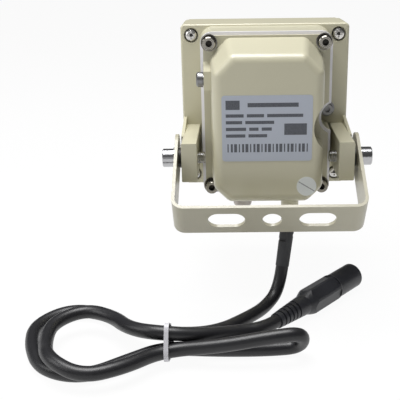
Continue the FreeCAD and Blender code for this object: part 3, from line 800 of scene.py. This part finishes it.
@dataclass
class RearPanel:
    """The bare label field and the round dot on the cover's rear face."""

    dresser: Dresser
    label_size: tuple[float, float] = (0.0465, 0.0345)
    label_corner: float = 0.0016
    dot_radius: float = 0.0052
    film: float = 0.0002

    def build(self) -> None:
        """Build both films and fix them to the lamp."""
        label = rounded_plate("label_film", LABEL_MIDDLE, *self.label_size, self.film,
                              self.label_corner)
        self.dresser.dress(label, PrintedFilm("label film", srgb(178, 184, 196),
                                              middle=LABEL_MIDDLE, ink=srgb(40, 42, 50),
                                              bars=self.bars()))
        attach(label, Body.LAMP.value)
        dot = disc("inspection_dot", DOT_MIDDLE, self.dot_radius, self.film)
        self.dresser.dress(dot, InspectionMark("inspection dot", srgb(222, 226, 226),
                                               middle=DOT_MIDDLE))
        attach(dot, Body.LAMP.value)

    def bars(self) -> tuple[tuple[float, float, float, float], ...]:
        """Plain fields, each as middle x, middle z, half width and half height in millimetres.

        Returns:
            A square and a header bar, rows of short bars, a field and a row of upright bars.
        """
        square = (-17.6, 12.3, 3.6, 2.4)
        header = (3.0, 12.3, 13.0, 1.1)
        side_field = (14.6, -0.4, 5.8, 3.0)
        shapes = [square, header]
        left_edge, top_row, row_step, gap, half_row = -21.2, 6.8, 3.5, 1.6, 0.85
        half_widths = ((4.6, 4.4, 9.2), (4.2, 7.4), (5.2, 2.4, 2.6), (5.0, 4.8))
        for row, halves in enumerate(half_widths):
            left = left_edge
            for half in halves:
                shapes.append((left + half, top_row - row_step * row, half, half_row))
                left += 2 * half + gap
        shapes.append(side_field)
        first_upright, upright_step, upright_level, half_tall = -20.2, 1.95, -10.2, 2.2
        for step in range(22):
            half = 0.32 + 0.22 * (step % 3)
            shapes.append((first_upright + upright_step * step, upright_level, half, half_tall))
        return tuple(shapes)


@dataclass(frozen=True)
class SoftLamp:
    """A square lamp, placed in lamp millimetres, with its side in metres and its power in watts."""

    name: str
    place: Point
    side: float
    power: float


@dataclass
class Studio:
    """The camera at the photograph's place, the floor, the lamps and the white surround.

    Attributes:
        focal: Focal length in pixels of the photograph.
        frame_side: The photograph's side in pixels.
        centre_x: Column of the lens axis in pixels.
        place: The camera's place in lamp millimetres.
        right: The direction along the picture's rows.
        down: The direction along the picture's columns. Not used.
        forward: The direction that the camera looks in.
        white_share: Share of the floor that the camera sees as plain white, so that the rest
            still carries the shadow.
        fill: Strength of the surround as light.
        aim: What the lamps point at, in lamp millimetres.
        soft_lamps: A broad lamp above, one near the left side and a weak one low at the back.
    """

    focal: float = 739.13
    frame_side: float = 400.0
    centre_x: float = 235.0
    place: Point = (-15.8, -423.5, 85.2)
    right: Point = (0.9999, 0.0011, -0.0114)
    down: Point = (-0.0104, -0.3194, -0.9476)
    forward: Point = (-0.0047, 0.9476, -0.3194)
    white_share: float = 0.95
    fill: float = 0.10
    aim: Point = (0, 0, -20)
    soft_lamps: tuple[SoftLamp, ...] = (
        SoftLamp("lamp_top", (-140, -50, 860), 0.6, 12.5),
        SoftLamp("lamp_left", (-500, -210, 230), 0.3, 0.9),
        SoftLamp("lamp_front_low", (-220, -900, 160), 0.5, 0.25),
    )

    def build(self) -> None:
        """Set the whole room up."""
        self.camera()
        self.floor()
        self.lamps()
        self.world()
        bpy.context.scene.view_settings.view_transform = "Standard"

    def camera(self) -> None:
        """The camera, with the lens and shift of the photograph."""
        data = bpy.data.cameras.new("camera")
        data.sensor_width = 36.0
        data.lens = self.focal * 36.0 / self.frame_side
        data.shift_x = -(self.centre_x - self.frame_side / 2) / self.frame_side
        data.clip_start = 0.02
        data.clip_end = 20.0
        camera = bpy.data.objects.new("camera", data)
        bpy.context.collection.objects.link(camera)
        right = Vector(self.right).normalized()
        back = -Vector(self.forward).normalized()
        up = back.cross(right).normalized()
        right = up.cross(back).normalized()
        turn = Matrix((right, up, back)).transposed().to_4x4()
        camera.matrix_world = Matrix.Translation(lamp_point(*self.place)) @ turn
        bpy.context.scene.camera = camera

    def floor(self) -> None:
        """A pale floor at the level that the lead lies on."""
        bpy.ops.mesh.primitive_plane_add(size=6.0, location=(0, 0, SURFACE_Z - 0.0002))
        plane = bpy.context.object
        plane.name = "floor"
        shader = Shader("floor paper")
        shader.set(Base_Color=(0.86, 0.86, 0.86), Roughness=0.9, Specular_IOR_Level=0.1)
        tree = shader.tree
        output = tree.nodes["Material Output"]
        glow = tree.nodes.new("ShaderNodeEmission")
        glow.inputs["Color"].default_value = (1.0, 1.0, 1.0, 1.0)
        rays = tree.nodes.new("ShaderNodeLightPath")
        seen = Signal(tree, rays.outputs["Is Camera Ray"])
        other = Signal(tree, rays.outputs["Is Glossy Ray"]).at_least(
            Signal(tree, rays.outputs["Is Transmission Ray"]))
        share = seen.at_least(other) * self.white_share
        mix = tree.nodes.new("ShaderNodeMixShader")
        tree.links.new(share.socket, mix.inputs[0])
        tree.links.new(shader.surface.outputs[0], mix.inputs[1])
        tree.links.new(glow.outputs[0], mix.inputs[2])
        tree.links.new(mix.outputs[0], output.inputs["Surface"])
        plane.data.materials.append(shader.material)

    def lamps(self) -> None:
        """Place each soft lamp and turn it to what it lights."""
        target = lamp_point(*self.aim)
        for soft in self.soft_lamps:
            data = bpy.data.lights.new(soft.name, "AREA")
            data.shape = "SQUARE"
            data.size = soft.side
            data.energy = soft.power
            lamp = bpy.data.objects.new(soft.name, data)
            bpy.context.collection.objects.link(lamp)
            lamp.location = lamp_point(*soft.place)
            lamp.rotation_euler = (target - lamp.location).to_track_quat("-Z", "Y").to_euler()

    def world(self) -> None:
        """An even pale surround, white to the eye and to reflections."""
        world = bpy.data.worlds.new("surround")
        bpy.context.scene.world = world
        world.use_nodes = True
        tree = world.node_tree
        background = tree.nodes["Background"]
        background.inputs["Color"].default_value = (1.0, 1.0, 1.0, 1.0)
        rays = tree.nodes.new("ShaderNodeLightPath")
        seen = Signal(tree, rays.outputs["Is Camera Ray"]).at_least(
            Signal(tree, rays.outputs["Is Transmission Ray"]))
        strength = seen * (1.0 - self.fill) + self.fill
        tree.links.new(strength.socket, background.inputs["Strength"])


# The lead's control points in lamp millimetres, from the boot's end to the socket's relief, as in
# the part's source.
ROUTE: tuple[Point, ...] = (
    (8.1, -46.0, -80.7),
    (6.2725, -49.4, -93.11),
    (-1.2, -59.2, -99.1),
    (-10.5, -74.5, -97.4),
    (-28.5, -94.2, -96.1),
    (-52.0, -103.3, -91.4),
    (-72.1, -88.1, -96.7),
    (-86.1, -66.0, -99.8),
    (-107.6, -60.8, -98.9),
    (-123.3, -76.4, -100.0),
    (-120.0, -98.3, -99.8),
    (-109.2, -120.7, -99.9),
    (-87.3, -127.2, -100.1),
    (-68.4, -114.4, -99.0),
    (-52.5, -104.0, -98.4),
    (-25.0, -104.8, -99.4),
    (-0.5, -103.4, -100.1),
    (14.3, -101.8, -99.6),
    (14.5, -110.4, -87.6),
    (-0.2, -112.2, -88.4),
    (-24.9, -113.1, -92.5),
    (-53.1, -110.0, -96.4),
    (-68.9, -128.3, -94.2),
    (-87.5, -134.8, -95.1),
    (-104.4, -125.2, -91.4),
    (-110.6, -106.1, -94.4),
    (-111.4, -86.7, -93.2),
    (-96.3, -74.6, -92.0),
    (-79.4, -84.1, -92.0),
    (-69.9, -99.7, -90.1),
    (-53.1, -108.6, -87.7),
    (-32.8, -104.2, -91.6),
    (-15.9, -92.8, -95.9),
    (-2.8832, -88.336, -96.5),
    (3.3, -81.0, -96.5),
)


def main() -> None:
    """Dress the model, add the pieces, set the room up and log the lead's length."""
    logging.basicConfig(level=logging.INFO)
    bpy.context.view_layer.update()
    Studio().build()
    dresser = Dresser()
    dresser.dress_nodes()
    Lead(dresser, ROUTE, leaving=(9.3, -51.4, -77.2), landing=(-23.0, -75.2, -100.0)).build()
    RearPanel(dresser).build()
    log.info("pieces placed")


if __name__ == "__main__":
    main()
